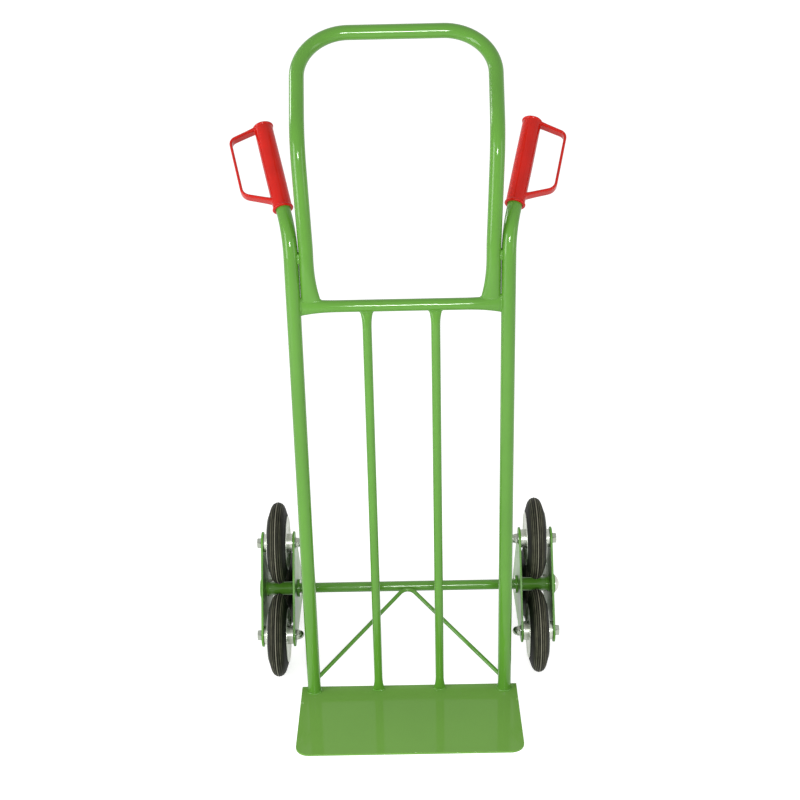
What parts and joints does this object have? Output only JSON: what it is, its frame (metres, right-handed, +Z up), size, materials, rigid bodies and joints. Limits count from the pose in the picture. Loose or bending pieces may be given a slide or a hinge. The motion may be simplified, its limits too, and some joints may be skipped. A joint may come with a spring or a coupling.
{
  "type": "stair-climbing sack truck",
  "caption": "Upright hand truck of bent steel tube with a flat toe plate, a top loop, two guarded grips and a rotating three-wheel star on each end of its axle.",
  "frame": {"origin": "on the floor under the toe plate, midway between the uprights, in the plane of their straight centre lines", "axes": "+X to the truck's right seen from the toe plate's side, +Y to the back where the axle is, +Z up along the uprights"},
  "size_m": [0.5948, 0.5302, 1.2233],
  "materials": {
    "green_enamel": "gloss enamel",
    "red_plastic": "semi-gloss moulded",
    "solid_tyre": "matt rubber",
    "zinc_rim": "bright zinc plate",
    "zinc_plate": "bright zinc plate",
    "bearing_steel": "ground",
    "bush_plastic": "satin",
    "pale_cap": "galvanised"
  },
  "bodies": {
    "frame": {"toe_plate": "green_enamel", "left_upright": "green_enamel", "right_upright": "green_enamel", "left_grip": "red_plastic", "right_grip": "red_plastic", "top_loop": "green_enamel", "crossbar": "green_enamel", "left_slat": "green_enamel", "right_slat": "green_enamel", "axle": "green_enamel", "left_axle_bracket": "green_enamel", "right_axle_bracket": "green_enamel", "brace_rod": "green_enamel", "inner_axle_collars": "green_enamel", "outer_axle_collars": "green_enamel", "right_axle_cap": "pale_cap"},
    "left_star": {"left_star_inner_plate": "green_enamel", "left_star_outer_plate": "green_enamel", "left_star_hub_tube": "green_enamel", "left_star_bushes": "bush_plastic", "left_wheel_bolts": "zinc_plate", "left_wheel_nuts": "zinc_plate", "left_wheel_washers": "zinc_plate", "left_wheel_sleeves": "zinc_plate"},
    "left_top_wheel": {"left_top_tyre": "solid_tyre", "left_top_inner_rim": "zinc_rim", "left_top_outer_rim": "zinc_rim", "left_top_bearing": "bearing_steel"},
    "left_front_wheel": {"left_front_tyre": "solid_tyre", "left_front_inner_rim": "zinc_rim", "left_front_outer_rim": "zinc_rim", "left_front_bearing": "bearing_steel"},
    "left_rear_wheel": {"left_rear_tyre": "solid_tyre", "left_rear_inner_rim": "zinc_rim", "left_rear_outer_rim": "zinc_rim", "left_rear_bearing": "bearing_steel"},
    "right_star": {"right_star_inner_plate": "green_enamel", "right_star_outer_plate": "green_enamel", "right_star_hub_tube": "green_enamel", "right_star_bushes": "bush_plastic", "right_wheel_bolts": "zinc_plate", "right_wheel_nuts": "zinc_plate", "right_wheel_washers": "zinc_plate", "right_wheel_sleeves": "zinc_plate"},
    "right_top_wheel": {"right_top_tyre": "solid_tyre", "right_top_inner_rim": "zinc_rim", "right_top_outer_rim": "zinc_rim", "right_top_bearing": "bearing_steel"},
    "right_front_wheel": {"right_front_tyre": "solid_tyre", "right_front_inner_rim": "zinc_rim", "right_front_outer_rim": "zinc_rim", "right_front_bearing": "bearing_steel"},
    "right_rear_wheel": {"right_rear_tyre": "solid_tyre", "right_rear_inner_rim": "zinc_rim", "right_rear_outer_rim": "zinc_rim", "right_rear_bearing": "bearing_steel"}
  },
  "joints": [
    {"name": "left_star_spin", "type": "hinge", "parent": "frame", "child": "left_star", "pos_m": [-0.2515, 0.1655, 0.1315], "axis": [1, 0, 0], "continuous": true},
    {"name": "left_top_wheel_spin", "type": "hinge", "parent": "left_star", "child": "left_top_wheel", "pos_m": [-0.2515, 0.1655, 0.2345], "axis": [1, 0, 0], "continuous": true},
    {"name": "left_front_wheel_spin", "type": "hinge", "parent": "left_star", "child": "left_front_wheel", "pos_m": [-0.2515, 0.0763, 0.08], "axis": [1, 0, 0], "continuous": true},
    {"name": "left_rear_wheel_spin", "type": "hinge", "parent": "left_star", "child": "left_rear_wheel", "pos_m": [-0.2515, 0.2547, 0.08], "axis": [1, 0, 0], "continuous": true},
    {"name": "right_star_spin", "type": "hinge", "parent": "frame", "child": "right_star", "pos_m": [0.2515, 0.1655, 0.1315], "axis": [1, 0, 0], "continuous": true},
    {"name": "right_top_wheel_spin", "type": "hinge", "parent": "right_star", "child": "right_top_wheel", "pos_m": [0.2515, 0.1655, 0.2345], "axis": [1, 0, 0], "continuous": true},
    {"name": "right_front_wheel_spin", "type": "hinge", "parent": "right_star", "child": "right_front_wheel", "pos_m": [0.2515, 0.0763, 0.08], "axis": [1, 0, 0], "continuous": true},
    {"name": "right_rear_wheel_spin", "type": "hinge", "parent": "right_star", "child": "right_rear_wheel", "pos_m": [0.2515, 0.2547, 0.08], "axis": [1, 0, 0], "continuous": true}
  ]
}
